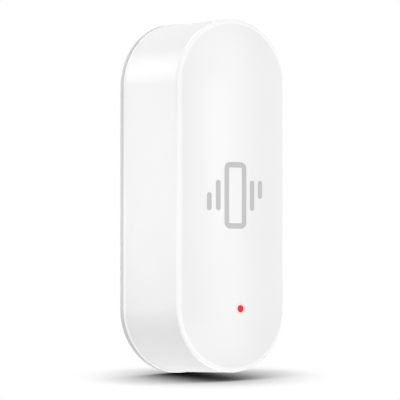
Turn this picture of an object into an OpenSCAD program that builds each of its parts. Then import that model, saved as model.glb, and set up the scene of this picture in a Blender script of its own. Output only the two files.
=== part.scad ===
// Vibration sensor tag: a crowned pill-shaped housing that snaps onto a rear cover stuck to a wall.
// Drawn lying on its back: x across, y along the height, z from the wall to the front.
// upright() then stands it on the wall, with the adhesive face at the origin.

/* [Body] */
// Room for switches and screws between the battery holder and each end of the housing
end_room = 8.85; // [8.4:0.05:14]
// Room between a cell's trough and the side of the battery holder
side_room = 0.4; // [0.3:0.05:3]
// Depth from the back of the rear cover to the front rim
body_d = 22.2; // [21.4:0.1:28]
// Rise of the crowned front face above its rim
crown = 1.4; // [0.8:0.1:2]
// Radius of the front edge
edge_r = 0.7; // [0.3:0.05:1.2]
// Step from the housing's side out to its rear rim
flare = 0.2; // [0.1:0.05:0.3]
// Height of the sloped band at that step
flare_h = 0.6; // [0.3:0.05:1]
// Thickness of the side walls
wall = 1.5; // [1.3:0.05:1.6]
// Thickness of the front wall
front_wall = 1.8; // [1.2:0.1:2.2]

/* [Rear cover] */
// Thickness of the cover plate
cover_t = 1.45; // [1.2:0.05:2]
// Radius of the cover's rear edge
cover_edge_r = 0.5; // [0.2:0.05:0.7]
// Gap between the cover and the housing rim
seam_gap = 0.1; // [0.05:0.01:0.2]
// Radius of the two edges that meet at the seam
seam_r = 0.2; // [0.1:0.05:0.3]
// Height of the locating lip inside the housing
lip_h = 3; // [2.4:0.1:3.4]
// Thickness of the locating lip
lip_t = 0.9; // [0.7:0.05:1]
// Clearance between the lip and the housing wall
lip_clear = 0.1; // [0.05:0.01:0.15]
// Radius of the snap ridges on the lip
snap_r = 0.4; // [0.25:0.05:0.5]
// Length of each snap ridge
snap_l = 7; // [4:0.5:10]
// Clearance of a snap ridge in its groove
snap_clear = 0.08; // [0.05:0.01:0.12]
// Length of the pry notch in the cover's edge
notch_l = 8; // [5:0.5:12]
// Depth of the pry notch in from the edge
notch_in = 1.1; // [0.6:0.1:1.4]
// Height of the pry notch
notch_h = 0.7; // [0.4:0.05:0.9]
// Height of the bars that hold the cells down
bar_h = 0.7; // [0.3:0.05:0.8]
// Thickness of those bars
bar_t = 1.2; // [0.8:0.1:2]
// Length of those bars
bar_l = 16; // [10:0.5:18]

/* [Adhesive pad] */
// Thickness of the foam pad
pad_t = 1.2; // [0.8:0.1:2]
// Depth of the pad's recess in the cover
pad_recess = 0.4; // [0.2:0.05:0.6]
// Distance from the body's outline to the pad
pad_inset = 3.2; // [2:0.1:5]
// Clearance round the pad
pad_clear = 0.15; // [0.1:0.05:0.3]

/* [Front mark and status light] */
// Width of the mark's rounded frame
mark_w = 5.2; // [4:0.1:6]
// Height of the mark's rounded frame
mark_h = 13.4; // [10:0.1:18]
// Width of the mark's strokes
mark_stroke = 1.05; // [0.7:0.05:1.2]
// Outer corner radius of the frame
mark_r = 1.25; // [1.2:0.05:1.8]
// Distance between neighbouring bars
mark_pitch = 2.03; // [1.9:0.01:2.4]
// Length of the inner bars
bar_long = 6.1; // [4:0.1:9]
// Length of the outer bars
bar_short = 3.6; // [2.5:0.05:4]
// Depth of the mark in the front face
mark_t = 0.25; // [0.15:0.05:0.4]
// Clearance round the mark
mark_clear = 0.02; // [0.01:0.01:0.05]
// Diameter of the status light's window
lens_d = 1.35; // [0.9:0.05:1.8]
// Distance of the light right of the middle
lens_x = 1.2; // [-3:0.1:3]
// Distance of the light below the middle
lens_down = 22.9; // [18:0.1:23.4]
// Clearance of the light pipe in its hole
lens_clear = 0.04; // [0.02:0.01:0.1]
// Rise of the light pipe's dome above the front face
lens_rise = 0.12; // [0.05:0.01:0.2]
// Diameter of the light pipe's flange
pipe_flange_d = 2.8; // [2.2:0.1:3.4]
// Thickness of the light pipe's flange
pipe_flange_t = 0.6; // [0.4:0.1:1]
// Diameter of the light pipe's stem
pipe_stem_d = 1.8; // [1.4:0.1:2]

/* [Cells] */
// Diameter of a cell
cell_d = 10.5; // [9.8:0.1:10.5]
// Length of a cell over its terminals
cell_l = 44.5; // [43.3:0.1:44.5]
// Gap between the two cells
cell_gap = 0.8; // [0.6:0.05:0.9]
// Gap between the cells and the rear cover
cell_back_gap = 0.9; // [0.9:0.05:1.6]
// Diameter of the positive terminal
nub_d = 3.8; // [3:0.1:4]
// Height of the positive terminal
nub_h = 0.9; // [0.8:0.05:1.2]
// Thickness of the jacket
jacket_t = 0.16; // [0.1:0.02:0.24]
// Width of the jacket's turned-in rim
jacket_rim = 1.3; // [0.8:0.1:1.5]

/* [Battery holder and contacts] */
// Thickness of the holder's floor
tray_floor = 0.95; // [0.7:0.05:1.4]
// Thickness of the holder's end walls
tray_wall = 1.1; // [0.8:0.05:1.4]
// Clearance between a cell and its trough
cell_clear = 0.15; // [0.1:0.05:0.2]
// Clearance between the holder and the housing
tray_clear = 0.25; // [0.15:0.05:0.3]
// Drop of the trough's rim below the cells' axis
tray_drop = 1.5; // [1:0.1:2.5]
// Thickness of the screw tabs
tab_t = 1.2; // [0.8:0.1:1.6]
// Width of the screw tabs
tab_w = 5.4; // [5:0.1:6]
// Thickness of the contact strip
strip_t = 0.4; // [0.3:0.05:0.5]
// Width of a contact plate
plate_w = 7; // [5:0.1:8]
// Width of the tail that goes to the board
tail_w = 2.2; // [1.5:0.1:3]
// Clearance round a tail in the holder's floor
tail_clear = 0.15; // [0.1:0.05:0.3]
// Diameter of the dimple that meets a positive terminal
dimple_d = 2.2; // [1.5:0.1:3]
// Height of that dimple
dimple_h = 0.4; // [0.2:0.05:0.6]
// Length of a contact spring with a cell in place
spring_l = 3.4; // [3.2:0.1:4.5]
// Wire diameter of a contact spring
spring_wire = 0.5; // [0.3:0.05:0.5]
// Diameter of a contact spring at its foot
spring_foot_d = 6.4; // [5.6:0.1:6.8]
// Diameter of a contact spring at its tip
spring_tip_d = 3.4; // [2.6:0.1:3.6]
// Turns of a contact spring
spring_turns = 3; // [2:0.5:3]

/* [Board] */
// Thickness of the main board
board_t = 1; // [0.8:0.1:1.6]
// Clearance between the board and the housing
board_clear = 0.35; // [0.2:0.05:0.6]
// Gap between the battery holder and the board
board_standoff = 0.55; // [0.3:0.05:1]
// Width of the radio module
module_w = 15; // [12:0.5:17]
// Length of the radio module
module_l = 20; // [18:0.5:24]
// Thickness of the radio module's board
module_t = 0.8; // [0.6:0.1:1]
// Side of the square shield can
shield_w = 12; // [10:0.5:12.5]
// Height of the shield can
shield_h = 1.9; // [1.4:0.1:2.4]
// Sheet thickness of the shield can
shield_t = 0.2; // [0.15:0.05:0.3]
// Legs of the antenna's meander
antenna_legs = 7; // [5:1:8]
// Width of the antenna's strip
antenna_w = 0.6; // [0.4:0.05:0.8]
// Thickness of the antenna's strip
antenna_t = 0.08; // [0.05:0.01:0.15]
// Margin round the antenna and the shield
antenna_margin = 0.9; // [0.6:0.1:1.5]
// Side of the controller chip
controller_w = 7; // [5:0.5:9]
// Thickness of the controller chip
controller_t = 0.9; // [0.7:0.1:1.2]
// Length of the memory chip
memory_l = 5; // [4:0.5:6]
// Width of the memory chip
memory_w = 4; // [3:0.5:5]
// Side of the regulator chip
regulator_w = 3; // [2:0.5:4]
// Length of a chip resistor or capacitor
passive_l = 1.6; // [1:0.1:2]
// Width of a chip resistor or capacitor
passive_w = 0.8; // [0.5:0.1:1]
// Distance between neighbouring chip passives
passive_pitch = 2.2; // [2.1:0.1:3]
// Length of the status LED
led_l = 1.6; // [1:0.1:2]
// Width of the status LED
led_w = 0.9; // [0.5:0.1:1.2]
// Height of the status LED
led_t = 0.6; // [0.4:0.1:1]
// Diameter of the bulk capacitor
cap_d = 5; // [4:0.1:5]
// Height of the bulk capacitor
cap_h = 5.8; // [4:0.1:7]
// Diameter of the holes for the screws in the board
board_hole_d = 2.4; // [2.2:0.1:2.8]

/* [Screws and bosses] */
// Diameter of the screws
screw_d = 2; // [1.6:0.1:2.1]
// Length of the screws under the head
screw_l = 6; // [4.5:0.1:6.5]
// Diameter of the screw heads
head_d = 3.6; // [3:0.1:3.8]
// Height of the screw heads
head_h = 1.4; // [1:0.1:1.6]
// Diameter of the housing's screw bosses
boss_d = 4.6; // [4:0.1:5]
// Clearance round the screws
screw_clear = 0.04; // [0.02:0.01:0.08]

/* [Vibration switch] */
// Outer diameter of the can
vib_d = 4.6; // [4:0.1:4.8]
// Wall of the can
vib_wall = 0.25; // [0.15:0.05:0.3]
// Height of the switch's base
vib_base_h = 1.2; // [0.8:0.1:1.6]
// Height of the can
vib_can_h = 8.2; // [7:0.1:8.4]
// Diameter of the centre pin
vib_pin_d = 0.7; // [0.5:0.05:0.8]
// Wire diameter of the sensing spring
vib_wire = 0.3; // [0.2:0.02:0.32]
// Mean diameter of the sensing spring
vib_spring_d = 2.3; // [2.2:0.05:2.5]
// Length of the sensing spring
vib_spring_l = 6.4; // [6:0.1:6.8]
// Turns of the sensing spring
vib_turns = 8; // [5:1:8]

/* [Reset switch] */
// Side of the square switch body
reset_w = 4.5; // [4:0.1:4.6]
// Height of the switch body
reset_h = 2.6; // [2:0.1:3.2]
// Thickness of the steel frame on the switch
reset_frame_t = 0.25; // [0.15:0.05:0.4]
// Diameter of the plunger
plunger_d = 2; // [1.6:0.1:2.4]
// Height of the plunger above the frame
plunger_h = 2.8; // [1.5:0.1:4]
// Travel of the plunger
plunger_travel = 0.25; // [0.2:0.05:0.4]
// Running clearance of the plunger
plunger_clear = 0.05; // [0.03:0.01:0.1]

/* [Hidden] */
$fn = 64;
FINE = 256;

// Gap kept between loose neighbours at the ends of the board
end_gap = 0.4;

// Levels along the depth
cover_z = pad_t - pad_recess;
seam_z = cover_z + cover_t;
rim_z = cover_z + body_d;
front_z = rim_z + crown;
cell_z = seam_z + cell_back_gap + cell_d / 2;
tray_rim_z = cell_z + tray_drop;
tray_front_z = cell_z + cell_d / 2 + cell_clear + tray_floor;
board_back_z = tray_front_z + board_standoff;
board_front_z = board_back_z + board_t;
lip_top_z = seam_z + lip_h;

// Battery bay
cell_x = (cell_d + cell_gap) / 2;
bay_half = (cell_l + spring_l + dimple_h + 2 * strip_t) / 2;
tray_end = bay_half + tray_wall;
tray_wall_z = lip_top_z + end_gap;
plate_z = tray_wall_z + tail_clear;
nub_y = bay_half - strip_t - dimple_h;
tail_x = [-cell_x, cell_x];

// Outlines: the cells set the body's width and height
cavity_r = cell_x + cell_d / 2 + cell_clear + side_room + tray_clear;
body_r = cavity_r + wall;
body_w = 2 * body_r;
body_h = 2 * (tray_end + end_room + wall);
end_y = body_h / 2 - body_r;
echo(body_w = body_w, body_h = body_h);
lip_r = cavity_r - lip_clear;
tray_r = cavity_r - tray_clear;
board_r = cavity_r - board_clear;
side_r = body_r - flare;
crown_r = (side_r * side_r + crown * crown) / (2 * crown);
crown_z = front_z - crown_r;

// Places at the two ends of the board
boss_y = tray_end + end_gap + tab_w / 2;
vib_x = tab_w / 2 + end_gap + vib_d / 2;
vib_y = tray_end + end_gap + vib_d / 2;
cap_x = -(tab_w / 2 + end_gap + cap_d / 2);
cap_y = tray_end + end_gap + cap_d / 2;
reset_x = tab_w / 2 + end_gap + reset_w / 2;
reset_y = -(tray_end + end_gap + reset_w / 2);
module_y = boss_y - boss_d / 2 - 2 * end_gap - module_l / 2;
shield_y = module_y - module_l / 2 + shield_w / 2 + antenna_margin;

// Other derived places
snap_z = seam_z + lip_h / 2 + 0.3;
snap_ys = [-end_y * 0.6, end_y * 0.6];
bar_ys = [-cell_l / 4, cell_l / 4];
boss_sink = 0.3;
pilot_l = screw_l - tab_t - board_t + 0.5;
rib_w = 1.2;
rib_in = board_clear + 0.9;
rib_ys = [-end_y * 0.75, 0, end_y * 0.75];
pipe_gap = 0.2;
controller_y = -controller_w;

// Stands the model on the wall: depth becomes -Y, height becomes +Z
module upright() {
    rotate([90, 0, 0]) children();
}

// Outlines in the plane of the wall

// Pill outline of a given end radius, on the body's own centres
module pill_2d(r) {
    square([2 * r, 2 * end_y], center = true);
    for (s = [-1, 1]) translate([0, s * end_y]) circle(r, $fn = FINE);
}

// Rectangle with round corners
module rounded_2d(w, h, r) {
    square([w - 2 * r, h], center = true);
    square([w, h - 2 * r], center = true);
    for (sx = [-1, 1], sy = [-1, 1])
        translate([sx * (w / 2 - r), sy * (h / 2 - r)]) circle(r);
}

// Upright bar with round ends
module bar_2d(w, l) {
    square([w, l - w], center = true);
    for (s = [-1, 1]) translate([0, s * (l - w) / 2]) circle(w / 2);
}

// Pill-shaped solid swept from a half section drawn as (radius, depth)
module pill_sweep() {
    for (s = [0, 1]) rotate([0, 0, 180 * s]) translate([0, end_y, 0])
        rotate_extrude(angle = 180, $fn = FINE) children();
    rotate([90, 0, 0]) translate([0, 0, -end_y]) linear_extrude(2 * end_y) {
        children();
        mirror([1, 0]) children();
    }
}

// Half section of the closed housing: flared rear rim, straight side, rounded front edge, crown
module housing_section() {
    low = seam_z + seam_gap;
    rim_top = low + seam_r;
    fillet_z = crown_z + sqrt(pow(crown_r - edge_r, 2) - pow(side_r - edge_r, 2));
    touch_r = (side_r - edge_r) * crown_r / (crown_r - edge_r);
    translate([0, low]) square([body_r - seam_r, seam_r]);
    translate([body_r - seam_r, rim_top]) circle(seam_r);
    polygon([[0, rim_top], [body_r, rim_top], [side_r, rim_top + flare_h],
        [side_r, fillet_z], [0, fillet_z]]);
    translate([side_r - edge_r, fillet_z]) circle(edge_r);
    intersection() {
        translate([0, low]) square([touch_r, front_z - low + 1]);
        translate([0, crown_z]) circle(crown_r, $fn = 4 * FINE);
    }
}

// Half section of the space inside the housing
module cavity_section() {
    low = seam_z - 1;
    intersection() {
        translate([0, low]) square([cavity_r, front_z - low]);
        translate([0, crown_z]) circle(crown_r - front_wall, $fn = 4 * FINE);
    }
}

// Half section of the cover plate, with its two edges rounded
module cover_section() {
    translate([0, cover_z]) square([body_r - cover_edge_r, cover_t]);
    translate([0, cover_z + cover_edge_r]) square([body_r - seam_r, cover_t - cover_edge_r]);
    translate([0, cover_z + cover_edge_r])
        square([body_r, cover_t - cover_edge_r - seam_r]);
    translate([body_r - cover_edge_r, cover_z + cover_edge_r]) circle(cover_edge_r);
    translate([body_r - seam_r, seam_z - seam_r]) circle(seam_r);
}

// Cylinder along the body's height that follows the crown, sunk by a depth
module crown_solid(depth) {
    translate([0, 0, crown_z]) rotate([90, 0, 0])
        cylinder(r = crown_r - depth, h = 2 * end_y, center = true, $fn = 4 * FINE);
}

// Round ridges along the lip, or their grooves when grown
module snap_ridges(grow) {
    for (s = [-1, 1], y = snap_ys)
        translate([s * lip_r, y, snap_z]) rotate([90, 0, 0])
            cylinder(r = snap_r + grow, h = snap_l + 2 * grow, center = true);
}

// Rear cover and pad

module rear_cover() {
    color([0.83, 0.83, 0.83]) upright() difference() {
        union() {
            pill_sweep() cover_section();
            translate([0, 0, seam_z - 0.5]) linear_extrude(lip_h + 0.5) difference() {
                pill_2d(lip_r);
                pill_2d(lip_r - lip_t);
            }
            snap_ridges(0);
            for (y = bar_ys) translate([-bar_l / 2, y - bar_t / 2, seam_z - 0.5])
                cube([bar_l, bar_t, bar_h + 0.5]);
        }
        translate([0, 0, cover_z - 1]) linear_extrude(pad_recess + 1)
            pill_2d(body_r - pad_inset + pad_clear);
        translate([body_r - notch_in, -notch_l / 2, seam_z - notch_h])
            cube([notch_in + 1, notch_l, notch_h + 1]);
    }
}

module adhesive_pad() {
    color([0.9, 0.9, 0.88]) upright()
        linear_extrude(pad_t) pill_2d(body_r - pad_inset);
}

// Front housing, mark and status light

module mark_2d(grow) {
    difference() {
        rounded_2d(mark_w + 2 * grow, mark_h + 2 * grow, mark_r + grow);
        rounded_2d(mark_w - 2 * mark_stroke - 2 * grow, mark_h - 2 * mark_stroke - 2 * grow,
            mark_r - mark_stroke - grow + 0.1);
    }
    for (s = [-1, 1]) {
        translate([s * 2 * mark_pitch, 0]) bar_2d(mark_stroke + 2 * grow, bar_long + 2 * grow);
        translate([s * 3 * mark_pitch, s * (bar_long - bar_short) / 2])
            bar_2d(mark_stroke + 2 * grow, bar_short + 2 * grow);
    }
}

// The mark as a layer under the crowned face
module mark_layer(grow, depth, top) {
    difference() {
        intersection() {
            translate([0, 0, rim_z - 2]) linear_extrude(crown + 4) mark_2d(grow);
            crown_solid(-top);
        }
        crown_solid(depth);
    }
}

module housing_ribs() {
    for (s = [-1, 1], y = rib_ys)
        translate([s > 0 ? cavity_r - rib_in : -cavity_r - 0.5, y - rib_w / 2, board_front_z])
            cube([rib_in + 0.5, rib_w, rim_z - front_wall - board_front_z]);
}

module front_housing() {
    color("white") upright() difference() {
        union() {
            difference() {
                pill_sweep() housing_section();
                pill_sweep() cavity_section();
            }
            for (s = [-1, 1]) translate([0, s * boss_y, board_front_z])
                cylinder(d = boss_d, h = front_z - front_wall + boss_sink - board_front_z);
            housing_ribs();
        }
        for (s = [-1, 1]) translate([0, s * boss_y, board_front_z - 1])
            cylinder(d = screw_d + 2 * screw_clear, h = pilot_l + 1);
        translate([lens_x, -lens_down, front_z - front_wall - 2])
            cylinder(d = lens_d + 2 * lens_clear, h = front_wall + 4);
        snap_ridges(snap_clear);
        mark_layer(mark_clear, mark_t + mark_clear, 1);
    }
}

module front_mark() {
    color([0.79, 0.79, 0.79]) upright() mark_layer(0, mark_t, 0);
}

module light_pipe() {
    led_top = board_front_z + led_t;
    lens_z = crown_z + sqrt(crown_r * crown_r - lens_x * lens_x);
    inner_z = crown_z + sqrt(pow(crown_r - front_wall, 2) - pow(lens_x + pipe_flange_d / 2, 2));
    flange_top = inner_z - 0.03;
    dome_r = (pow(lens_d / 2, 2) + lens_rise * lens_rise) / (2 * lens_rise);
    color("red") upright() translate([lens_x, -lens_down, 0]) {
        translate([0, 0, led_top + pipe_gap])
            cylinder(d = pipe_stem_d, h = flange_top - led_top - pipe_gap);
        translate([0, 0, flange_top - pipe_flange_t])
            cylinder(d = pipe_flange_d, h = pipe_flange_t);
        intersection() {
            translate([0, 0, flange_top - pipe_flange_t])
                cylinder(d = lens_d, h = lens_z + lens_rise + 1 - flange_top);
            translate([0, 0, lens_z + lens_rise - dome_r]) sphere(dome_r, $fn = FINE);
        }
        translate([0, 0, flange_top - pipe_flange_t])
            cylinder(d = lens_d, h = lens_z - flange_top + pipe_flange_t);
    }
}

// Boards and what stands on them

module main_board() {
    color([0.05, 0.35, 0.2]) upright() translate([0, 0, board_back_z])
        linear_extrude(board_t) difference() {
            pill_2d(board_r);
            for (s = [-1, 1]) translate([0, s * boss_y]) circle(d = board_hole_d);
        }
}

module radio_module() {
    color([0.1, 0.12, 0.3]) upright() translate([0, module_y, board_front_z])
        linear_extrude(module_t) square([module_w, module_l], center = true);
}

module module_shield() {
    low = board_front_z + module_t;
    color("silver") upright() translate([0, shield_y, low]) difference() {
        translate([0, 0, shield_h / 2]) cube([shield_w, shield_w, shield_h], center = true);
        translate([0, 0, (shield_h - shield_t) / 2 - 0.5])
            cube([shield_w - 2 * shield_t, shield_w - 2 * shield_t, shield_h - shield_t + 1],
                center = true);
    }
}

// Folded strip antenna: upright legs joined at alternate ends
module module_antenna() {
    span = module_w - 2 * antenna_margin - antenna_w;
    step = span / (antenna_legs - 1);
    low_y = shield_y + shield_w / 2 + antenna_margin;
    leg = module_y + module_l / 2 - antenna_margin - low_y;
    color("goldenrod") upright() translate([0, 0, board_front_z + module_t])
        linear_extrude(antenna_t) for (i = [0 : antenna_legs - 1]) {
            x = -(span + antenna_w) / 2 + i * step;
            translate([x, low_y]) square([antenna_w, leg]);
            if (i < antenna_legs - 1)
                translate([x, i % 2 == 0 ? low_y + leg - antenna_w : low_y])
                    square([step + antenna_w, antenna_w]);
        }
}

module status_led() {
    color([0.95, 0.9, 0.85]) upright()
        translate([lens_x, -lens_down, board_front_z + led_t / 2])
            cube([led_l, led_w, led_t], center = true);
}

module chip(size, x, y) {
    translate([x, y, board_front_z + size[2] / 2]) cube(size, center = true);
}

module board_chips() {
    row_y = controller_y - controller_w - memory_l / 2;
    color([0.12, 0.12, 0.12]) upright() {
        chip([controller_w, controller_w, controller_t], 0, controller_y);
        chip([memory_w, memory_l, controller_t], -controller_w / 2 - memory_w / 2, row_y);
        chip([regulator_w, regulator_w, controller_t], controller_w / 2 + regulator_w / 2, row_y);
    }
}

module board_passives() {
    size = [passive_l, passive_w, passive_w];
    side_x = controller_w / 2 + passive_pitch;
    below_y = controller_y - controller_w / 2 - passive_pitch / 2;
    color("tan") upright() {
        for (i = [-1.5 : 1.5], s = [-1, 1])
            chip(size, s * side_x, controller_y + passive_pitch * i);
        for (i = [-1 : 1]) chip(size, passive_pitch * i, below_y);
    }
}

module bulk_capacitor() {
    groove_z = board_back_z - 1.6;
    color("silver") upright() translate([cap_x, cap_y, 0]) rotate_extrude() {
        translate([0, board_back_z - cap_h]) square([cap_d / 2 - 0.2, cap_h]);
        translate([0, board_back_z - cap_h + 0.2])
            square([cap_d / 2, cap_h - 0.2 - (board_back_z - groove_z)]);
        translate([0, groove_z + 0.5]) square([cap_d / 2, board_back_z - groove_z - 0.5]);
    }
}

// Reset switch

module reset_switch() {
    color([0.15, 0.15, 0.15]) upright() translate([reset_x, reset_y, board_back_z - reset_h])
        difference() {
            linear_extrude(reset_h) rounded_2d(reset_w, reset_w, 0.3);
            translate([0, 0, -1])
                cylinder(d = plunger_d + 2 * plunger_clear, h = reset_h + 1 - 0.4);
        }
}

module reset_frame() {
    color("silver") upright()
        translate([reset_x, reset_y, board_back_z - reset_h - reset_frame_t])
            linear_extrude(reset_frame_t) difference() {
                rounded_2d(reset_w, reset_w, 0.3);
                circle(d = plunger_d + 4 * plunger_clear);
            }
}

module reset_plunger() {
    top = board_back_z - reset_h - reset_frame_t - plunger_h;
    foot = board_back_z - 0.4 - plunger_travel - 0.1;
    color([0.2, 0.2, 0.2]) upright() translate([reset_x, reset_y, 0]) rotate_extrude() {
        translate([0, top]) square([plunger_d / 2 - 0.2, foot - top]);
        translate([0, top + 0.2]) square([plunger_d / 2, foot - top - 0.2]);
    }
}

// Vibration switch: a spring sways until it touches the pin inside it

module vibration_base() {
    color([0.2, 0.2, 0.22]) upright()
        translate([vib_x, vib_y, board_back_z - vib_base_h]) difference() {
            cylinder(d = vib_d, h = vib_base_h);
            translate([0, 0, -1])
                cylinder(d = vib_pin_d + 2 * screw_clear, h = vib_base_h + 2);
        }
}

module vibration_can() {
    color("goldenrod") upright()
        translate([vib_x, vib_y, board_back_z - vib_base_h - vib_can_h]) difference() {
            cylinder(d = vib_d, h = vib_can_h);
            translate([0, 0, vib_wall]) cylinder(d = vib_d - 2 * vib_wall, h = vib_can_h);
        }
}

module vibration_pin() {
    color("silver") upright() translate([vib_x, vib_y, board_back_z - vib_base_h - vib_spring_l])
        cylinder(d = vib_pin_d, h = vib_spring_l + vib_base_h);
}

module vibration_spring() {
    foot = board_back_z - vib_base_h - 0.05 - vib_wire / 2;
    color("silver") upright() translate([vib_x, vib_y, foot]) mirror([0, 0, 1])
        coil(vib_spring_d / 2, vib_spring_d / 2, vib_spring_l - vib_wire, vib_turns, vib_wire);
}

// Coils: one wire swept along a cylindrical or conical helix

RINGS_PER_TURN = 8;
WIRE_SIDES = 6;

function helix_point(t, r0, r1, l, turns) =
    let (r = r0 + (r1 - r0) * t, a = 360 * turns * t) [r * cos(a), r * sin(a), l * t];

function helix_points(r0, r1, l, turns) =
    let (n = ceil(turns * RINGS_PER_TURN))
    [for (i = [0 : n]) helix_point(i / n, r0, r1, l, turns)];

// Least distance between turns, less the wire's own diameter
function coil_gap(r0, r1, l, turns, wire) =
    let (p = helix_points(r0, r1, l, turns), apart = RINGS_PER_TURN / 2)
    min([for (i = [0 : len(p) - 1], j = [i + apart : 1 : len(p) - 1]) norm(p[j] - p[i])]) - wire;

module coil(r0, r1, l, turns, wire) {
    path = helix_points(r0, r1, l, turns);
    last = len(path) - 1;
    rise = l / (360 * turns) * 180 / PI;
    rings = [for (i = [0 : last])
        let (a = 360 * turns * i / last,
            out = [cos(a), sin(a), 0],
            along = [-sin(a) * r0, cos(a) * r0, rise] / norm([r0, rise]),
            up = cross(out, along))
        [for (k = [0 : WIRE_SIDES - 1])
            let (b = 360 * k / WIRE_SIDES)
            path[i] + wire / 2 * (cos(b) * out + sin(b) * up)]];
    sides = [for (i = [0 : last - 1], k = [0 : WIRE_SIDES - 1])
        let (m = (k + 1) % WIRE_SIDES, a = i * WIRE_SIDES, b = a + WIRE_SIDES)
        each [[a + k, b + k, a + m], [a + m, b + k, b + m]]];
    ends = [for (k = [1 : WIRE_SIDES - 2])
        each [[0, k, k + 1],
            [last * WIRE_SIDES, last * WIRE_SIDES + k + 1, last * WIRE_SIDES + k]]];
    polyhedron(points = [for (ring = rings) each ring], faces = concat(sides, ends));
}

echo(contact_spring_gap = coil_gap(spring_foot_d / 2, spring_tip_d / 2,
    spring_l - spring_wire - 0.1, spring_turns, spring_wire));
echo(vibration_spring_gap = coil_gap(vib_spring_d / 2, vib_spring_d / 2,
    vib_spring_l - vib_wire, vib_turns, vib_wire));

// Battery holder

module battery_holder() {
    color([0.93, 0.93, 0.91]) upright() difference() {
        union() {
            difference() {
                translate([0, 0, tray_rim_z]) linear_extrude(tray_front_z - tray_rim_z)
                    tray_2d(tray_end);
                for (x = tail_x) translate([x, 0, cell_z]) rotate([90, 0, 0])
                    cylinder(d = cell_d + 2 * cell_clear, h = 2 * bay_half, center = true,
                        $fn = FINE);
            }
            translate([0, 0, tray_wall_z]) linear_extrude(tray_front_z - tray_wall_z)
                difference() {
                    tray_2d(tray_end);
                    square([3 * body_w, 2 * bay_half], center = true);
                }
            for (s = [-1, 1]) rotate([0, 0, s > 0 ? 0 : 180])
                translate([0, 0, board_back_z - tab_t]) linear_extrude(tab_t) tab_2d();
        }
        for (s = [-1, 1]) translate([0, s * boss_y, board_back_z - tab_t - 1])
            cylinder(d = board_hole_d, h = tab_t + 2);
        for (x = tail_x)
            translate([x - tail_w / 2 - tail_clear, bay_half - strip_t - tail_clear, cell_z])
                cube([tail_w + 2 * tail_clear, strip_t + 2 * tail_clear, body_d]);
    }
}

// The holder's outline: the pill cut square at its ends
module tray_2d(half) {
    intersection() {
        pill_2d(tray_r);
        square([3 * body_w, 2 * half], center = true);
    }
}

module tab_2d() {
    translate([-tab_w / 2, bay_half]) square([tab_w, boss_y - bay_half]);
    translate([0, boss_y]) circle(d = tab_w);
}

module holder_screws() {
    head_z = board_back_z - tab_t - head_h;
    slot = [head_d * 0.6, 0.6, 0.8];
    color("silver") upright() for (s = [-1, 1]) translate([0, s * boss_y, head_z]) difference() {
        union() {
            cylinder(d = head_d, h = head_h);
            cylinder(d = screw_d, h = head_h + screw_l);
        }
        for (a = [45, 135]) rotate([0, 0, a]) translate([0, 0, slot[2] / 2 - 0.01])
            cube(slot, center = true);
    }
}

// Cells, lying along the height with the terminal at +y

module cell_place(side) {
    translate([side * cell_x, 0, cell_z]) rotate([0, 0, side < 0 ? 0 : 180])
        translate([0, nub_y - cell_l, 0]) rotate([-90, 0, 0]) children();
}

module cell_core(side) {
    core_r = cell_d / 2 - jacket_t - 0.02;
    rim_r = cell_d / 2 - jacket_rim - 0.02;
    shoulder = cell_l - nub_h;
    color("silver") upright() cell_place(side) rotate_extrude($fn = FINE) {
        translate([0, jacket_t + 0.05]) square([core_r, shoulder - 2 * jacket_t - 0.1]);
        square([rim_r, shoulder]);
        square([nub_d / 2, cell_l]);
    }
}

module cell_jacket(side) {
    skin = 0.02;
    shoulder = cell_l - nub_h;
    color([0.25, 0.3, 0.35]) upright() cell_place(side) rotate_extrude($fn = FINE)
        difference() {
            translate([cell_d / 2 - jacket_rim, skin])
                square([jacket_rim, shoulder - 2 * skin]);
            translate([0, jacket_t + skin])
                square([cell_d / 2 - jacket_t, shoulder - 2 * jacket_t - 2 * skin]);
        }
}

module cell_core_left() { cell_core(-1); }
module cell_core_right() { cell_core(1); }
module cell_jacket_left() { cell_jacket(-1); }
module cell_jacket_right() { cell_jacket(1); }

// Contacts: strips against the holder's end walls

// Plate with a tail to the board, on the inner face of the upper end wall
module contact_plate(side) {
    translate([side * cell_x, bay_half - strip_t, 0]) {
        translate([-plate_w / 2, 0, plate_z])
            cube([plate_w, strip_t, cell_z + cell_d / 4 - plate_z]);
        translate([-tail_w / 2, 0, plate_z])
            cube([tail_w, strip_t, board_back_z - plate_z]);
    }
}

module dimple(x, y, turn) {
    translate([x, y, cell_z]) rotate([turn, 0, 0])
        cylinder(d = dimple_d, h = dimple_h + strip_t / 2);
}

module plate_contact() {
    color("lightgray") upright() {
        contact_plate(-1);
        dimple(-cell_x, bay_half - strip_t / 2, 90);
    }
}

module spring_contact() {
    color("lightgray") upright() contact_plate(1);
}

module bridge_contact() {
    half = cell_x + plate_w / 2;
    color("lightgray") upright() {
        translate([-half, -bay_half, plate_z])
            cube([2 * half, strip_t, tray_rim_z - tail_clear - plate_z]);
        dimple(cell_x, -bay_half + strip_t / 2, -90);
    }
}

// Conical spring from a plate's face to the base of its cell
module contact_spring(side, turn) {
    room = 0.05;
    color("silver") upright()
        translate([side * cell_x, (turn > 0 ? 1 : -1) * (bay_half - strip_t), cell_z])
            rotate([turn, 0, 0]) translate([0, 0, room + spring_wire / 2])
                coil(spring_foot_d / 2, spring_tip_d / 2, spring_l - spring_wire - 2 * room,
                    spring_turns, spring_wire);
}

module contact_spring_top() { contact_spring(1, 90); }
module contact_spring_bottom() { contact_spring(-1, -90); }

rear_cover();
adhesive_pad();
front_housing();
front_mark();
light_pipe();
main_board();
radio_module();
module_shield();
module_antenna();
status_led();
board_chips();
board_passives();
bulk_capacitor();
reset_switch();
reset_frame();
reset_plunger();
vibration_base();
vibration_can();
vibration_pin();
vibration_spring();
battery_holder();
cell_core_left();
cell_core_right();
cell_jacket_left();
cell_jacket_right();
plate_contact();
spring_contact();
bridge_contact();
contact_spring_top();
contact_spring_bottom();
holder_screws();
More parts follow.
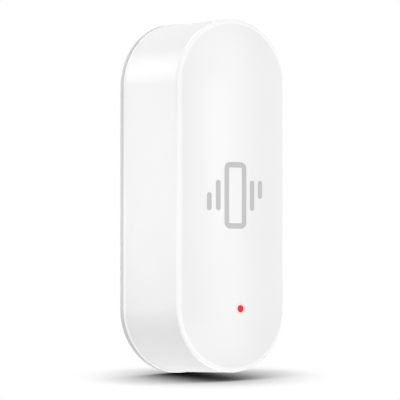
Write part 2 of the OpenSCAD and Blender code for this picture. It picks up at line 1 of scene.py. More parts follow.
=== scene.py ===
# %% [markdown]
# # Vibration sensor tag
#
# A white, pill-shaped sensor that is stuck to a door or a window and reports when it shakes.
# The solids come packed in one shared frame: +Z is up, the front faces -Y, and the origin is
# in the middle of the adhesive pad. This lesson dresses them: camera, stage and light first,
# then one finish after another, then the few pieces that look better as new meshes.

import math

import bmesh
import bpy
from mathutils import Matrix, Vector


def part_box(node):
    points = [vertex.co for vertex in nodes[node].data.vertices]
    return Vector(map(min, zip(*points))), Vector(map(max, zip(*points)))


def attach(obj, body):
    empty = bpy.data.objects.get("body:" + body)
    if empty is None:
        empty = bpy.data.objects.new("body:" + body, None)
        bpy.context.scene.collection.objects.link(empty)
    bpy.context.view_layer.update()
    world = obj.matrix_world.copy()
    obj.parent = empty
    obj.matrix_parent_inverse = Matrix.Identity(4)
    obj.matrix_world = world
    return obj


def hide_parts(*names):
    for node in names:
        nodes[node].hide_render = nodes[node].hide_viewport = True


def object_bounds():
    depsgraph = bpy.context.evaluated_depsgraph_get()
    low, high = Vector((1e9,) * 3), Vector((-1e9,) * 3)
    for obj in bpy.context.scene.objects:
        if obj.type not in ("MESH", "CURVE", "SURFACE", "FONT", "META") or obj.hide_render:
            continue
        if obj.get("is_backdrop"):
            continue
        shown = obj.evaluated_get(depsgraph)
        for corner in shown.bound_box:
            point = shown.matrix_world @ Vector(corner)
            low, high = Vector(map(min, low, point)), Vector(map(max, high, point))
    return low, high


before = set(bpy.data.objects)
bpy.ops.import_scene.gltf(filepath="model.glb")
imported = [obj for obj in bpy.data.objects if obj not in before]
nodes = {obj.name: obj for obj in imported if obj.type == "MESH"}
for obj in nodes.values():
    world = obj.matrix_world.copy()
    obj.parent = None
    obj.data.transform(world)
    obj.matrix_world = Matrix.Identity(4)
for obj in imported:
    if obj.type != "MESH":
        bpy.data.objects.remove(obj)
cad_low, cad_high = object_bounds()
MM = 0.001
print("CAD box in mm:", [round(v / MM, 2) for v in (cad_high - cad_low)])

# %% [markdown]
# ## Camera
#
# The photograph is a product shot taken with a long lens: upright edges stay parallel and the
# two ends look almost the same. A short lens close by would give the same size with far more
# perspective. So the camera stands well back, turned to the left of the front, and a little
# below the middle of the body. Its aim is moved by a hair to the left and down, which frames
# the body as the photograph does without any lens shift.

# %% Camera
VIEW_TURN = math.radians(-32.3)
VIEW_RISE = math.radians(-1.74)
VIEW_DISTANCE = 849 * MM
FRAME_WIDTH = 81.85 * MM
AIM_LEFT, AIM_DOWN = 0.51 * MM, 0.61 * MM
CROWN_RISE = 1.4 * MM
SENSOR_WIDTH = 36
CLIP_NEAR, CLIP_FAR = 0.01, 20


def link(obj):
    """Puts an object in the scene."""
    bpy.context.scene.collection.objects.link(obj)
    return obj


def direction(turn, rise):
    """Unit vector away from the body: turn 0 is the front, negative is the left."""
    level = math.cos(rise)
    return Vector((math.sin(turn) * level, -math.cos(turn) * level, math.sin(rise)))


cover_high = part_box("rear_cover")[1]
housing_low, housing_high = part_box("front_housing")
front_rim_y = housing_low.y + CROWN_RISE
body_middle = Vector((0, (cover_high.y + front_rim_y) / 2, 0))

to_camera = direction(VIEW_TURN, VIEW_RISE)
look = to_camera.to_track_quat("Z", "Y")
aim = body_middle + look @ Vector((-AIM_LEFT, -AIM_DOWN, 0))
camera_data = bpy.data.cameras.new("camera")
camera_data.sensor_width = SENSOR_WIDTH
camera_data.lens = SENSOR_WIDTH * VIEW_DISTANCE / FRAME_WIDTH
camera_data.clip_start, camera_data.clip_end = CLIP_NEAR, CLIP_FAR
camera = link(bpy.data.objects.new("camera", camera_data))
camera.location = aim + to_camera * VIEW_DISTANCE
camera.rotation_mode = "QUATERNION"
camera.rotation_quaternion = look
bpy.context.scene.camera = camera
bpy.context.scene.view_settings.view_transform = "Standard"
print(f"camera lens {camera_data.lens:.0f} mm at {VIEW_DISTANCE / MM:.0f} mm")

# %% [markdown]
# ## Stage
#
# The floor is plain and white and only has to take the body's soft contact shadow. The camera
# stands so low that a level floor would be seen edge-on. So the floor leans a few degrees
# towards the camera, round a line across the view where the rear of the body touches it. It
# is a light table: it shines white by itself, and light from below passes through it. Ambient
# occlusion, the share of the sky that a point can see, then draws the shadow wherever the body
# stands close over the table, at any pose.

# %% Floor mesh
FLOOR_HALF = 0.9
FLOOR_LEAN = math.radians(5)


def mesh_object(name, bm):
    """Object at the origin that takes over the mesh of a bmesh."""
    mesh = bpy.data.meshes.new(name)
    bm.to_mesh(mesh)
    bm.free()
    return link(bpy.data.objects.new(name, mesh))


lean = (Matrix.Translation((0, cover_high.y, cad_low.z)) @ Matrix.Rotation(VIEW_TURN, 4, "Z")
        @ Matrix.Rotation(FLOOR_LEAN, 4, "X"))
floor_bm = bmesh.new()
bmesh.ops.create_grid(floor_bm, x_segments=1, y_segments=1, size=FLOOR_HALF, matrix=lean)
floor = mesh_object("floor", floor_bm)
floor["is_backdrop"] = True
print("floor under the body at z =", round(cad_low.z / MM, 2), "mm")

# %% Floor finish
FLOOR_WHITE = 1.0
SHADOW_REACH = 20 * MM
SHADOW_CORE, SHADOW_EDGE = 0.057, 0.884
SHADOW_DEPTH = 1.19

floor_material = bpy.data.materials.new("stage_floor")
floor_material.use_nodes = True
floor_tree = floor_material.node_tree
floor_tree.nodes.remove(floor_tree.nodes["Principled BSDF"])
sky_share = floor_tree.nodes.new("ShaderNodeAmbientOcclusion")
sky_share.inputs["Distance"].default_value = SHADOW_REACH
shadow = floor_tree.nodes.new("ShaderNodeMapRange")
shadow.inputs["From Min"].default_value = SHADOW_CORE
shadow.inputs["From Max"].default_value = SHADOW_EDGE
floor_tree.links.new(sky_share.outputs["AO"], shadow.inputs["Value"])
deepen = floor_tree.nodes.new("ShaderNodeMath")
deepen.operation = "POWER"
deepen.inputs[1].default_value = SHADOW_DEPTH
floor_tree.links.new(shadow.outputs["Result"], deepen.inputs[0])
floor_light = floor_tree.nodes.new("ShaderNodeEmission")
floor_light.inputs["Strength"].default_value = FLOOR_WHITE
floor_tree.links.new(deepen.outputs[0], floor_light.inputs["Color"])
floor_tree.links.new(floor_light.outputs["Emission"],
                     floor_tree.nodes["Material Output"].inputs["Surface"])
floor.data.materials.append(floor_material)
floor.visible_diffuse = False
floor.visible_glossy = False
floor.visible_shadow = False
print("contact shadow reaches", round(SHADOW_REACH / MM), "mm")

# %% [markdown]
# ## Light
#
# A white tent of even light keeps white plastic white, and soft boxes draw the form in it. Fewer
# boxes would be simpler, but a white body on white shows its form only by small steps of light,
# so each step has a box of its own:
#
# - two small boxes close to the long left side make it fade towards its ends
# - a large box at the front left whitens the rounded front edge
# - boxes high and low in front keep both ends of the front even
# - a tall strip and a small near box at the front right are reflected as the soft upright
#   highlight beside the mark
# - a strip and a glow behind at the left are reflected as the bright band on the upper arc
# - the boxes at the right, at the back and overhead light the sides that the photograph hides
# - a lamp under the table lights the lower arc

# %% World
WORLD_LEVEL = 0.3
BACKGROUND_LEVEL = 1.0


def seen_directly(tree):
    """Mask that is 1 for camera, glossy and transmission rays."""
    path = tree.nodes.new("ShaderNodeLightPath")
    mask = path.outputs["Is Camera Ray"]
    for ray in ("Is Glossy Ray", "Is Transmission Ray"):
        larger = tree.nodes.new("ShaderNodeMath")
        larger.operation = "MAXIMUM"
        tree.links.new(mask, larger.inputs[0])
        tree.links.new(path.outputs[ray], larger.inputs[1])
        mask = larger.outputs[0]
    return mask


world = bpy.data.worlds.new("white_tent")
bpy.context.scene.world = world
world.use_nodes = True
world_tree = world.node_tree
world_level = world_tree.nodes.new("ShaderNodeMapRange")
world_level.inputs["To Min"].default_value = WORLD_LEVEL
world_level.inputs["To Max"].default_value = BACKGROUND_LEVEL
world_tree.links.new(seen_directly(world_tree), world_level.inputs["Value"])
background = world_tree.nodes["Background"]
background.inputs["Color"].default_value = (1, 1, 1, 1)
world_tree.links.new(world_level.outputs["Result"], background.inputs["Strength"])
print("tent lights the body at", WORLD_LEVEL)

# %% Soft boxes
# name: azimuth and elevation in degrees, distance, width and height in metres, watts
SOFT_BOXES = {
    "left_high": (-90, 14, 0.10, 0.04, 0.04, 0.0061),
    "left_low": (-90, -12, 0.06, 0.03, 0.03, 0.0063),
    "front_left": (-30, -5, 1.50, 1.35, 1.20, 7.65),
    "front_high": (5, 25, 1.35, 0.75, 0.75, 2.17),
    "front_low": (5, -20, 1.35, 0.75, 0.75, 2.82),
    "front_strip": (30, 4, 1.20, 0.36, 0.90, 2.29),
    "front_near": (18.5, 5, 0.25, 0.045, 0.055, 0.0197),
    "right_fill": (70, 15, 0.45, 0.25, 0.30, 0.16),
    "right_back": (104, 0, 0.45, 0.30, 0.30, 0.70),
    "back_fill": (180, 5, 0.50, 0.20, 0.25, 0.80),
    "back_strip": (-150, 12.5, 1.00, 0.32, 0.30, 0.227),
    "back_glow": (-150, 18, 1.00, 0.32, 0.55, 0.83),
    "top_back": (-120, 65, 0.45, 0.20, 0.20, 0.912),
    "table_lamp": (-90, -85, 0.09, 0.03, 0.05, 0.017),
}


def soft_box(name, azimuth, elevation, distance, width, height, watts):
    """Area light that faces the middle of the body."""
    away = direction(math.radians(azimuth), math.radians(elevation))
    light = bpy.data.lights.new(name, "AREA")
    light.shape = "RECTANGLE"
    light.size, light.size_y = width, height
    light.energy = watts
    box = link(bpy.data.objects.new(name, light))
    box.location = body_middle + away * distance
    box.rotation_mode = "QUATERNION"
    box.rotation_quaternion = away.to_track_quat("Z", "Y")
    box.visible_camera = False


for name, values in SOFT_BOXES.items():
    soft_box(name, *values)
print("soft boxes:", ", ".join(SOFT_BOXES))

# %% [markdown]
# ## Tools for finishes
#
# A finish is a small tree of nodes: a texture reads the place on the surface, and its value
# drives colour, roughness and a fine bump. The tree could be drawn by hand in the shader
# editor. In a script, a few helpers keep it short. All finishes read Object coordinates, in
# metres, so a pattern has its real size on every piece.

# %% Math helpers
def add_math(tree, operation, first, second=0.0):
    """Math node whose inputs are numbers or sockets."""
    node = tree.nodes.new("ShaderNodeMath")
    node.operation = operation
    for socket, value in zip(node.inputs, (first, second)):
        if isinstance(value, (int, float)):
            socket.default_value = value
        else:
            tree.links.new(value, socket)
    return node.outputs[0]


def add_vector_math(tree, operation, first, second):
    """Vector math of a socket with a tuple or another socket."""
    node = tree.nodes.new("ShaderNodeVectorMath")
    node.operation = operation
    tree.links.new(first, node.inputs[0])
    target = node.inputs["Scale"] if operation == "SCALE" else node.inputs[1]
    if isinstance(second, tuple):
        target.default_value = second
    else:
        tree.links.new(second, target)
    return node.outputs["Value" if operation == "DISTANCE" else "Vector"]


def add_split(tree, vector):
    """X, Y and Z of a vector, by name."""
    node = tree.nodes.new("ShaderNodeSeparateXYZ")
    tree.links.new(vector, node.inputs[0])
    return node.outputs


print("helpers for math nodes ready")

# %% Texture helpers
def add_noise(tree, vector, scale, detail=2.0):
    """Noise whose scale is a number or a socket."""
    node = tree.nodes.new("ShaderNodeTexNoise")
    node.inputs["Detail"].default_value = detail
    tree.links.new(vector, node.inputs["Vector"])
    if isinstance(scale, (int, float)):
        node.inputs["Scale"].default_value = scale
    else:
        tree.links.new(scale, node.inputs["Scale"])
    return node.outputs["Fac"]


def add_ramp(tree, value, start, end):
    """Smooth step from 0 at start to 1 at end."""
    node = tree.nodes.new("ShaderNodeMapRange")
    node.interpolation_type = "SMOOTHSTEP"
    node.inputs["From Min"].default_value = start
    node.inputs["From Max"].default_value = end
    tree.links.new(value, node.inputs["Value"])
    return node.outputs["Result"]


print("helpers for noise and masks ready")

# %% Colour helpers
def add_mix(tree, factor, first, second):
    """Mix of two colours, each a tuple or a socket."""
    node = tree.nodes.new("ShaderNodeMix")
    node.data_type = "RGBA"
    sockets = {s.name: s for s in node.inputs if s.enabled}
    for label, value in (("Factor", factor), ("A", first), ("B", second)):
        if isinstance(value, tuple):
            sockets[label].default_value = (*value, 1.0)
        else:
            tree.links.new(value, sockets[label])
    return next(s for s in node.outputs if s.enabled)


def swing(tree, noise, amount):
    """Noise moved so that it swings round zero, by half the amount each way."""
    return add_math(tree, "MULTIPLY", add_math(tree, "SUBTRACT", noise, 0.5), amount)


def shade_by(tree, colour, noise, amount):
    """Lightens or darkens a colour by a noise value round its middle."""
    return add_vector_math(tree, "SCALE", colour,
                           add_math(tree, "ADD", swing(tree, noise, amount), 1.0))


print("helpers for colours ready")

# %% Group helpers
SOCKETS = {"value": "NodeSocketFloat", "colour": "NodeSocketColor", "vector": "NodeSocketVector"}
FINISH = {"Colour": "colour", "Roughness": "value", "Height": "value"}


def new_group(name, inputs, outputs):
    """Shader group with named sockets; returns it with its input sockets and output node."""
    group = bpy.data.node_groups.new(name, "ShaderNodeTree")
    for label, (kind, default) in inputs.items():
        socket = group.interface.new_socket(label, in_out="INPUT", socket_type=SOCKETS[kind])
        socket.default_value = default
    for label, kind in outputs.items():
        group.interface.new_socket(label, in_out="OUTPUT", socket_type=SOCKETS[kind])
    entry = group.nodes.new("NodeGroupInput")
    return group, entry.outputs, group.nodes.new("NodeGroupOutput")


def put_out(group, group_out, results):
    """Links results to the outputs of a group, by name."""
    for label, socket in results.items():
        group.links.new(socket, group_out.inputs[label])
    print("group:", group.name)


print("a finish puts out:", ", ".join(FINISH))

# %% Material helpers
def new_material(name):
    """Empty material; returns it with its tree, shader and Object coordinates."""
    material = bpy.data.materials.new(name)
    material.use_nodes = True
    tree = material.node_tree
    place = tree.nodes.new("ShaderNodeTexCoord")
    return material, tree, tree.nodes["Principled BSDF"], place.outputs["Object"]


def place_group(tree, group, vector, values):
    """Places a group in a material, with its own values."""
    node = tree.nodes.new("ShaderNodeGroup")
    node.node_tree = group
    tree.links.new(vector, node.inputs["Vector"])
    for label, value in values.items():
        is_colour = label.lower().endswith("colour")
        node.inputs[label].default_value = (*value, 1.0) if is_colour else value
    return node


def add_bump(tree, shader, height, depth):
    """Fine relief, as deep as given."""
    bump = tree.nodes.new("ShaderNodeBump")
    bump.inputs["Distance"].default_value = depth
    tree.links.new(height, bump.inputs["Height"])
    tree.links.new(bump.outputs["Normal"], shader.inputs["Normal"])


def feed_shader(tree, shader, finish, depth):
    """Feeds the colour, roughness and height of a placed group to the shader."""
    tree.links.new(finish.outputs["Colour"], shader.inputs["Base Color"])
    tree.links.new(finish.outputs["Roughness"], shader.inputs["Roughness"])
    add_bump(tree, shader, finish.outputs["Height"], depth)


def dress(material, *names):
    """Gives CAD nodes one material."""
    for name in names:
        slots = nodes[name].data.materials
        slots.clear()
        slots.append(material)
    print(material.name, "on", ", ".join(names))


print("material helpers ready")

# %% [markdown]
# ## Moulded plastic
#
# The housing, the cover, the battery holder and the small black parts are moulded. A moulded
# face is never quite even: the gloss drifts a little over the surface, and a fine grain comes
# off the mould. Each plastic could have its own tree, but the effect is the same on all. So one
# node group holds it, and each plastic places it with its own colour, grain and gloss.

# %% Moulded plastic group
moulded_skin, skin_in, skin_out = new_group(
    "moulded_skin",
    {
        "Vector": ("vector", (0, 0, 0)),
        "Colour": ("colour", (0.8, 0.8, 0.8, 1)),
        "Drift": ("value", 0.02),
        "Grain per metre": ("value", 4000.0),
        "Roughness": ("value", 0.35),
        "Gloss drift": ("value", 0.1),
    },
    FINISH,
)
CLOUDS_PER_METRE = 90.0
GRAIN_DEPTH = 0.004 * MM
cloud = add_noise(moulded_skin, skin_in["Vector"], CLOUDS_PER_METRE, detail=3.0)
grain = add_noise(moulded_skin, skin_in["Vector"], skin_in["Grain per metre"], detail=1.0)
put_out(moulded_skin, skin_out, {
    "Colour": shade_by(moulded_skin, skin_in["Colour"], cloud, skin_in["Drift"]),
    "Roughness": add_math(moulded_skin, "ADD", skin_in["Roughness"],
                          swing(moulded_skin, cloud, skin_in["Gloss drift"])),
    "Height": grain,
})


def moulded(name, colour, roughness, drift=0.02, grain=4000.0, gloss_drift=0.1):
    """One moulded plastic; returns it with its tree, shader, coordinates and skin node."""
    material, tree, shader, where = new_material(name)
    skin = place_group(tree, moulded_skin, where, {
        "Colour": colour, "Drift": drift, "Grain per metre": grain,
        "Roughness": roughness, "Gloss drift": gloss_drift,
    })
    feed_shader(tree, shader, skin, GRAIN_DEPTH)
    return material, tree, shader, where, skin


# %% [markdown]
# ## Worked metal
#
# Contacts, springs, screws and cans are rolled, drawn or turned, and all of that leaves fine
# lines along the direction of work. An anisotropic shader could stand for them, but lines that
# can be seen close up need a texture. So the group stretches a noise along one axis for the
# lines, and adds slow stains for the tarnish of plating.

# %% Worked metal group
worked_metal, metal_in, metal_out = new_group(
    "worked_metal",
    {
        "Vector": ("vector", (0, 0, 0)),
        "Colour": ("colour", (0.7, 0.7, 0.7, 1)),
        "Stretch": ("vector", (1.0, 1.0, 0.05)),
        "Lines per metre": ("value", 5000.0),
        "Roughness": ("value", 0.3),
        "Tarnish": ("value", 0.12),
    },
    FINISH,
)
STAINS_PER_METRE = 350.0
POLISH_SWING = 0.2
LINE_DEPTH = 0.003 * MM
stretched = add_vector_math(worked_metal, "MULTIPLY", metal_in["Vector"], metal_in["Stretch"])
lines = add_noise(worked_metal, stretched, metal_in["Lines per metre"])
stain = add_noise(worked_metal, metal_in["Vector"], STAINS_PER_METRE, detail=3.0)
put_out(worked_metal, metal_out, {
    "Colour": shade_by(worked_metal, metal_in["Colour"], stain, metal_in["Tarnish"]),
    "Roughness": add_math(worked_metal, "ADD", metal_in["Roughness"],
                          swing(worked_metal, lines, POLISH_SWING)),
    "Height": lines,
})
STREAK = 0.05
ALONG_Y, ALONG_Z, ALL_WAYS = (1, STREAK, 1), (1, 1, STREAK), (1, 1, 1)


def metal(name, colour, roughness, along=ALONG_Z):
    """One plated metal; returns it with its tree, shader, coordinates and metal node."""
    material, tree, shader, where = new_material(name)
    worked = place_group(tree, worked_metal, where, {
        "Colour": colour, "Stretch": along, "Roughness": roughness,
    })
    shader.inputs["Metallic"].default_value = 1.0
    feed_shader(tree, shader, worked, LINE_DEPTH)
    return material, tree, shader, where, worked


# %% [markdown]
# ## White housing, grey cover and mark
#
# The shell is satin white plastic, the rear cover is a light grey one, and the mark is a matt
# grey inlay. Near the status light the white plastic lets some light through, so it turns pink
# in a small disc. Light scattered under the surface could do that, but a colour that follows
# the distance from the light's axis is exact and free of noise. The lens needs the same
# distance, so it is a group of its own.
#
# The two edges of the shell, the rounded one at the front and the flared one at the rear, come
# from a polished part of the mould, so they are glossier than the faces. They are also painted a
# shade whiter than the faces, a painted highlight for the light that such edges catch. A mask
# finds them: the front edge lies beyond a certain distance from the pill's middle line and in
# front of a certain depth, and the flare is all that lies outside the sides.

# %% Distance from the status light
lens_low, lens_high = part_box("light_pipe")
LIGHT_MIDDLE = (lens_low + lens_high) / 2
light_axis, axis_in, axis_out = new_group(
    "light_axis", {"Vector": ("vector", (0, 0, 0))}, {"Distance": "value"})
across = add_vector_math(light_axis, "MULTIPLY", axis_in["Vector"], (1, 0, 1))
put_out(light_axis, axis_out, {
    "Distance": add_vector_math(light_axis, "DISTANCE", across,
                                (LIGHT_MIDDLE.x, 0, LIGHT_MIDDLE.z)),
})
print("status light at x, z in mm:", [round(v / MM, 2) for v in LIGHT_MIDDLE.xz])

# %% Plastics of the outside
WHITE, SATIN = (0.88, 0.88, 0.88), 0.24
COVER_GREY, MARK_GREY = (0.62, 0.62, 0.62), (0.55, 0.55, 0.55)
housing_white, tree, shader, where, skin = moulded("housing_white", WHITE, SATIN)
dress(housing_white, "front_housing")
dress(moulded("cover_grey", COVER_GREY, roughness=0.42, drift=0.03)[0], "rear_cover")
dress(moulded("mark_grey", MARK_GREY, roughness=0.5, grain=6000.0)[0], "front_mark")

# %% Polished edges of the housing, with a painted highlight
FLARE = 0.2 * MM
EDGE_WIDE, EDGE_DEEP, EDGE_SOFT = 1.0 * MM, 0.45 * MM, 0.1 * MM
# The edge colour is a painted highlight, whiter than the faces; only the lower roughness comes
# from the polish.
EDGE_PAINTED_HIGHLIGHT, EDGE_ROUGHNESS = (0.96, 0.96, 0.96), 0.2
SIDE_RADIUS = housing_high.x - FLARE
EDGE_FROM = SIDE_RADIUS - EDGE_WIDE
EDGE_FROM_Y = front_rim_y + EDGE_DEEP
STRAIGHT = housing_high.z - housing_high.x

place = add_split(tree, where)
past_straight = add_math(tree, "MAXIMUM", add_math(
    tree, "SUBTRACT", add_math(tree, "ABSOLUTE", place["Z"]), STRAIGHT), 0.0)
from_middle = add_math(tree, "SQRT", add_math(
    tree, "ADD", add_math(tree, "MULTIPLY", place["X"], place["X"]),
    add_math(tree, "MULTIPLY", past_straight, past_straight)))
outer = add_ramp(tree, from_middle, EDGE_FROM, EDGE_FROM + EDGE_SOFT)
forward = add_ramp(tree, place["Y"], EDGE_FROM_Y, EDGE_FROM_Y - EDGE_SOFT)
flared = add_ramp(tree, from_middle, SIDE_RADIUS, SIDE_RADIUS + EDGE_SOFT)
# This mask makes the edges glossier and also paints the highlight on them.
edge = add_math(tree, "MAXIMUM", add_math(tree, "MULTIPLY", outer, forward), flared)
face_with_painted_highlight = add_mix(tree, edge, skin.outputs["Colour"], EDGE_PAINTED_HIGHLIGHT)
gloss_loss = add_math(tree, "SUBTRACT", skin.outputs["Roughness"], EDGE_ROUGHNESS)
polished = add_math(tree, "SUBTRACT", skin.outputs["Roughness"],
                    add_math(tree, "MULTIPLY", edge, gloss_loss))
tree.links.new(polished, shader.inputs["Roughness"])
print(f"polished edge {EDGE_WIDE / MM:.1f} mm wide, roughness {EDGE_ROUGHNESS}")

# %% Pink glow round the status light
GLOW_PINK = (0.94, 0.66, 0.66)
GLOW_INNER, GLOW_OUTER = 0.7 * MM, 1.5 * MM
lens_near = place_group(tree, light_axis, where, {})
glow = add_ramp(tree, lens_near.outputs["Distance"], GLOW_OUTER, GLOW_INNER)
tree.links.new(add_mix(tree, glow, face_with_painted_highlight, GLOW_PINK), shader.inputs["Base Color"])
print(f"pink glow out to {GLOW_OUTER / MM:.1f} mm from the light's axis")

# %% [markdown]
# ## Status light
#
# A clear red light pipe with the LED shining behind it: brightest in the middle and deeper red
# at its rim. Clear plastic with a lamp behind it would be the real thing, but it is too small to
# look through here. So colour and glow both follow the distance from the pipe's own axis.

# %% Status light
LENS_MIDDLE = (0.75, 0.004, 0.008)
LENS_RIM = (0.45, 0.002, 0.005)
LENS_RADIUS = 0.675 * MM
LENS_CORE = 0.45 * LENS_RADIUS
LENS_GLOW = 0.18
LENS_SHINE = 0.25
LENS_ROUGHNESS = 0.2

lens_red, tree, shader, where = new_material("lens_red")
lens_near = place_group(tree, light_axis, where, {})
to_rim = add_ramp(tree, lens_near.outputs["Distance"], LENS_CORE, LENS_RADIUS)
lens_colour = add_mix(tree, to_rim, LENS_MIDDLE, LENS_RIM)
tree.links.new(lens_colour, shader.inputs["Base Color"])
tree.links.new(lens_colour, shader.inputs["Emission Color"])
shader.inputs["Emission Strength"].default_value = LENS_GLOW
shader.inputs["Specular IOR Level"].default_value = LENS_SHINE
shader.inputs["Roughness"].default_value = LENS_ROUGHNESS
dress(lens_red, "light_pipe")

# %% [markdown]
# ## Boards
#
# A circuit board is solder resist over copper. The copper shows through as slightly lighter,
# raised tracks, and where a track changes sides there is a small tinned hole, a via. Each track
# could be drawn, but here only the look counts. The gaps of a brick texture make good tracks:
# long, offset, and all square to each other. The middles of a cell texture scatter the vias.
# Both boards use the group, each with its own colours.

# %% Solder resist group
solder_resist, resist_in, resist_out = new_group(
    "solder_resist",
    {
        "Vector": ("vector", (0, 0, 0)),
        "Resist colour": ("colour", (0.02, 0.15, 0.07, 1)),
        "Track colour": ("colour", (0.04, 0.26, 0.12, 1)),
        "Rows per metre": ("value", 700.0),
    },
    FINISH,
)
board_place = add_split(solder_resist, resist_in["Vector"])
board_plane = solder_resist.nodes.new("ShaderNodeCombineXYZ")
solder_resist.links.new(board_place["Z"], board_plane.inputs["X"])
solder_resist.links.new(board_place["X"], board_plane.inputs["Y"])
print("board patterns run along", board_place["Z"].name, "and across", board_place["X"].name)

# %% Tracks and vias
TRACK_PATTERN = {"Mortar Size": 0.06, "Mortar Smooth": 0.3, "Brick Width": 3.4, "Row Height": 0.5}
ROW_OFFSET, OFFSET_EVERY = 0.37, 3
ROW_SQUASH, SQUASH_EVERY = 2.5, 4
VIAS_PER_METRE = 420.0
VIA_HOLE, VIA_RING = 0.06, 0.14

tracks = solder_resist.nodes.new("ShaderNodeTexBrick")
tracks.offset, tracks.offset_frequency = ROW_OFFSET, OFFSET_EVERY
tracks.squash, tracks.squash_frequency = ROW_SQUASH, SQUASH_EVERY
for label, value in TRACK_PATTERN.items():
    tracks.inputs[label].default_value = value
solder_resist.links.new(board_plane.outputs[0], tracks.inputs["Vector"])
solder_resist.links.new(resist_in["Rows per metre"], tracks.inputs["Scale"])
vias = solder_resist.nodes.new("ShaderNodeTexVoronoi")
vias.voronoi_dimensions = "2D"
vias.inputs["Scale"].default_value = VIAS_PER_METRE
solder_resist.links.new(board_plane.outputs[0], vias.inputs["Vector"])
via_ring = add_math(solder_resist, "MULTIPLY",
                    add_math(solder_resist, "GREATER_THAN", vias.outputs["Distance"], VIA_HOLE),
                    add_math(solder_resist, "LESS_THAN", vias.outputs["Distance"], VIA_RING))
print("vias per metre:", VIAS_PER_METRE)

# %% Resist colour and gloss
VIA_TIN = (0.52, 0.50, 0.42)
RESIST_GLOSS, RESIST_SWING = 0.25, 0.2
MOTTLES_PER_METRE, MOTTLE_SHADE = 500.0, 0.15
mottle = add_noise(solder_resist, resist_in["Vector"], MOTTLES_PER_METRE)
copper = add_mix(solder_resist, tracks.outputs["Fac"],
                 resist_in["Resist colour"], resist_in["Track colour"])
resist = shade_by(solder_resist, copper, mottle, MOTTLE_SHADE)
put_out(solder_resist, resist_out, {
    "Colour": add_mix(solder_resist, via_ring, resist, VIA_TIN),
    "Roughness": add_math(solder_resist, "ADD", RESIST_GLOSS,
                          add_math(solder_resist, "MULTIPLY", mottle, RESIST_SWING)),
    "Height": add_math(solder_resist, "MAXIMUM", tracks.outputs["Fac"], via_ring),
})

# %% Board materials
TRACK_RISE = 0.02 * MM


def board(name, resist, track, rows):
    """One board colour, with its rows of tracks per metre."""
    material, tree, shader, where = new_material(name)
    face = place_group(tree, solder_resist, where, {
        "Resist colour": resist, "Track colour": track, "Rows per metre": rows,
    })
    feed_shader(tree, shader, face, TRACK_RISE)
    return material


dress(board("board_green", resist=(0.015, 0.13, 0.06), track=(0.04, 0.25, 0.11), rows=700.0),
      "main_board")
dress(board("module_blue", resist=(0.01, 0.02, 0.07), track=(0.03, 0.06, 0.18), rows=1100.0),
      "radio_module")

# %% [markdown]
# ## Small plastics and metals
#
# The rest of the inside is many small parts of few materials: matt black for chips and
# switches, tan ceramic for chip passives, off-white for the battery holder, and plated steel,
# gold and aluminium for the metal. None needs a tree of its own, so each takes one of the two
# groups with its own values.

# %% Inner plastics
chip_black = moulded("chip_black", (0.03, 0.03, 0.032), roughness=0.5, drift=0.25)[0]
dress(chip_black, "board_chips", "reset_switch", "vibration_base")
for name, colour, roughness, drift, node in (
    ("holder_plastic", (0.78, 0.78, 0.75), 0.45, 0.04, "battery_holder"),
    ("passive_tan", (0.42, 0.30, 0.19), 0.5, 0.25, "board_passives"),
    ("led_ceramic", (0.75, 0.70, 0.60), 0.5, 0.1, "status_led"),
    ("plunger_brown", (0.10, 0.065, 0.045), 0.42, 0.1, "reset_plunger"),
):
    dress(moulded(name, colour, roughness, drift)[0], node)

# %% Inner metals
sheet_steel = metal("sheet_steel", (0.70, 0.69, 0.66), roughness=0.28)[0]
spring_steel = metal("spring_steel", (0.66, 0.66, 0.66), roughness=0.24, along=ALL_WAYS)[0]
gold_copper = metal("gold_copper", (0.83, 0.60, 0.27), roughness=0.26, along=ALONG_Y)[0]
screw_steel = metal("screw_steel", (0.58, 0.58, 0.60), roughness=0.3, along=ALONG_Y)[0]
cell_metal = metal("cell_metal", (0.70, 0.70, 0.71), roughness=0.25)[0]
dress(sheet_steel, "module_shield", "reset_frame", "vibration_pin",
      "plate_contact", "spring_contact", "bridge_contact")
dress(spring_steel, "contact_spring_top", "contact_spring_bottom", "vibration_spring")
dress(gold_copper, "module_antenna", "vibration_can")
dress(screw_steel, "holder_screws")
dress(cell_metal, "cell_core_left", "cell_core_right")

# %% [markdown]
# ## Capacitor
#
# An aluminium can with a black segment printed on its top for the negative side. The print
# could be a thin piece of its own, but ink has no thickness. The top is the end that faces the
# wall, so the print is a mask on depth and on the side of the axis.

# %% Capacitor
cap_low, cap_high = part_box("bulk_capacitor")
CAP_MIDDLE = (cap_low + cap_high) / 2
PRINT_DEPTH = 0.1 * MM
PRINT_FROM = 0.9 * MM
CAP_ALUMINIUM, CAP_INK = (0.74, 0.74, 0.75), (0.02, 0.02, 0.022)

capacitor_can, tree, shader, where, worked = metal(
    "capacitor_can", CAP_ALUMINIUM, roughness=0.24, along=ALONG_Y)
place = add_split(tree, where)
on_top = add_math(tree, "GREATER_THAN", place["Y"], cap_high.y - PRINT_DEPTH)
on_side = add_math(tree, "LESS_THAN", place["X"], CAP_MIDDLE.x - PRINT_FROM)
printed = add_math(tree, "MULTIPLY", on_top, on_side)
tree.links.new(add_mix(tree, printed, worked.outputs["Colour"], CAP_INK),
               shader.inputs["Base Color"])
tree.links.new(add_math(tree, "SUBTRACT", 1.0, printed), shader.inputs["Metallic"])
dress(capacitor_can, "bulk_capacitor")

# %% [markdown]
# ## Cells
#
# Two plain AAA cells in a printed shrink sleeve: slate grey, with a pale band at the positive
# end and a plus and a minus sign. A picture wrapped round the sleeve would blur close up, and
# masks stay sharp. The two cells lie head to tail, so the place along a cell is the height
# turned round on the right-hand side. Every edge of the print is a mask of that place and of
# the distance from the cell's middle line.

# %% Place on a cell
sleeve_low, sleeve_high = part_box("cell_jacket_right")
CELL_X = (sleeve_low.x + sleeve_high.x) / 2
CELL_Y = (sleeve_low.y + sleeve_high.y) / 2
SLATE, PALE = (0.045, 0.055, 0.065), (0.50, 0.51, 0.50)

